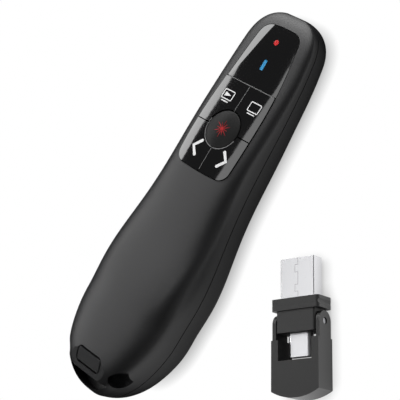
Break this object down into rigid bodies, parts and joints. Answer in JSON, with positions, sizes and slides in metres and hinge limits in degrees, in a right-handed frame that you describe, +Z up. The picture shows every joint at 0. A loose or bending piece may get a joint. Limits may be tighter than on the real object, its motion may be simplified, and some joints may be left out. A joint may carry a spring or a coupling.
{
  "type": "wireless presentation clicker",
  "caption": "Palm-sized presentation remote with a crowned housing, press keys and a laser key, beside its folding receiver with a USB-A and a USB-C plug.",
  "frame": {"origin": "on the belly's flat, under the middle of the clicker's length", "axes": "+Y towards the laser outlet at the nose, +X to the right-hand keys, +Z up out of the keys"},
  "size_m": [0.0883, 0.134, 0.0259],
  "materials": {
    "shell_plastic": "fine matte texture",
    "gloss_black": "polished",
    "key_satin": "satin",
    "red_lens": "polished",
    "blue_lens": "polished",
    "plunger_plastic": "moulded",
    "board_green": "solder mask",
    "switch_plastic": "moulded",
    "led_resin": "clear",
    "shield_tin": "tinned",
    "laser_brass": "turned",
    "laser_glass": "polished",
    "outlet_chrome": "plated",
    "cell_jacket": "printed foil",
    "contact_nickel": "nickel plated",
    "knob_plastic": "moulded",
    "screw_steel": "zinc plated",
    "plug_steel": "nickel plated",
    "receiver_plastic": "satin",
    "pin_steel": "bright",
    "white_ink": "pad printed on the keys",
    "red_ink": "pad printed on the round key"
  },
  "bodies": {
    "housing": {"top_shell": "shell_plastic", "bottom_shell": "shell_plastic", "indicator_window": "gloss_black", "status_lens": "red_lens", "signal_bar": "blue_lens", "circuit_board": "board_green", "switch_bodies": "switch_plastic", "power_switch": "switch_plastic", "status_led": "led_resin", "signal_led": "led_resin", "radio_shield": "shield_tin", "laser_barrel": "laser_brass", "laser_lens": "laser_glass", "outlet_ring": "outlet_chrome", "aaa_cells": "cell_jacket", "plate_contacts": "contact_nickel", "spring_contacts": "contact_nickel", "housing_screws": "screw_steel"},
    "play_button": {"play_key": "gloss_black", "play_plunger": "plunger_plastic"},
    "blank_button": {"blank_key": "gloss_black", "blank_plunger": "plunger_plastic"},
    "back_button": {"back_key": "gloss_black", "back_plunger": "plunger_plastic"},
    "forward_button": {"forward_key": "gloss_black", "forward_plunger": "plunger_plastic"},
    "laser_button": {"laser_key": "key_satin", "laser_plunger": "plunger_plastic"},
    "power_slider": {"power_knob": "knob_plastic"},
    "door": {"battery_door": "shell_plastic"},
    "receiver": {"receiver_body": "receiver_plastic", "receiver_board": "board_green", "usb_a_shell": "plug_steel", "usb_a_tongue": "switch_plastic", "usb_c_shell": "plug_steel", "usb_c_core": "switch_plastic", "cap_pins": "pin_steel"},
    "cap": {"receiver_cap": "receiver_plastic"}
  },
  "joints": [
    {"name": "play_press", "type": "slide", "parent": "housing", "child": "play_button", "axis": [0, -0.1357, -0.9907], "range_m": [0, 0.0005], "stiffness_N_per_m": 2000},
    {"name": "blank_press", "type": "slide", "parent": "housing", "child": "blank_button", "axis": [0, -0.1357, -0.9907], "range_m": [0, 0.0005], "stiffness_N_per_m": 2000},
    {"name": "back_press", "type": "slide", "parent": "housing", "child": "back_button", "axis": [0, -0.1357, -0.9907], "range_m": [0, 0.0005], "stiffness_N_per_m": 2000},
    {"name": "forward_press", "type": "slide", "parent": "housing", "child": "forward_button", "axis": [0, -0.1357, -0.9907], "range_m": [0, 0.0005], "stiffness_N_per_m": 2000},
    {"name": "laser_press", "type": "slide", "parent": "housing", "child": "laser_button", "axis": [0, -0.1357, -0.9907], "range_m": [0, 0.0005], "stiffness_N_per_m": 2000},
    {"name": "power_slide", "type": "slide", "parent": "housing", "child": "power_slider", "axis": [0, 1, 0], "range_m": [-0.002, 0]},
    {"name": "door_swing", "type": "hinge", "parent": "housing", "child": "door", "pos_m": [0, -0.0022, 0], "axis": [1, 0, 0], "range_deg": [0, 95]},
    {"name": "receiver_lift", "type": "slide", "parent": "housing", "child": "receiver", "axis": [0, 0, 1], "range_m": [0, 0.02]},
    {"name": "cap_swing", "type": "hinge", "parent": "receiver", "child": "cap", "pos_m": [0.0506, -0.0148, 0.0038], "axis": [-0.8387, -0.5446, 0], "range_deg": [0, 100]}
  ]
}
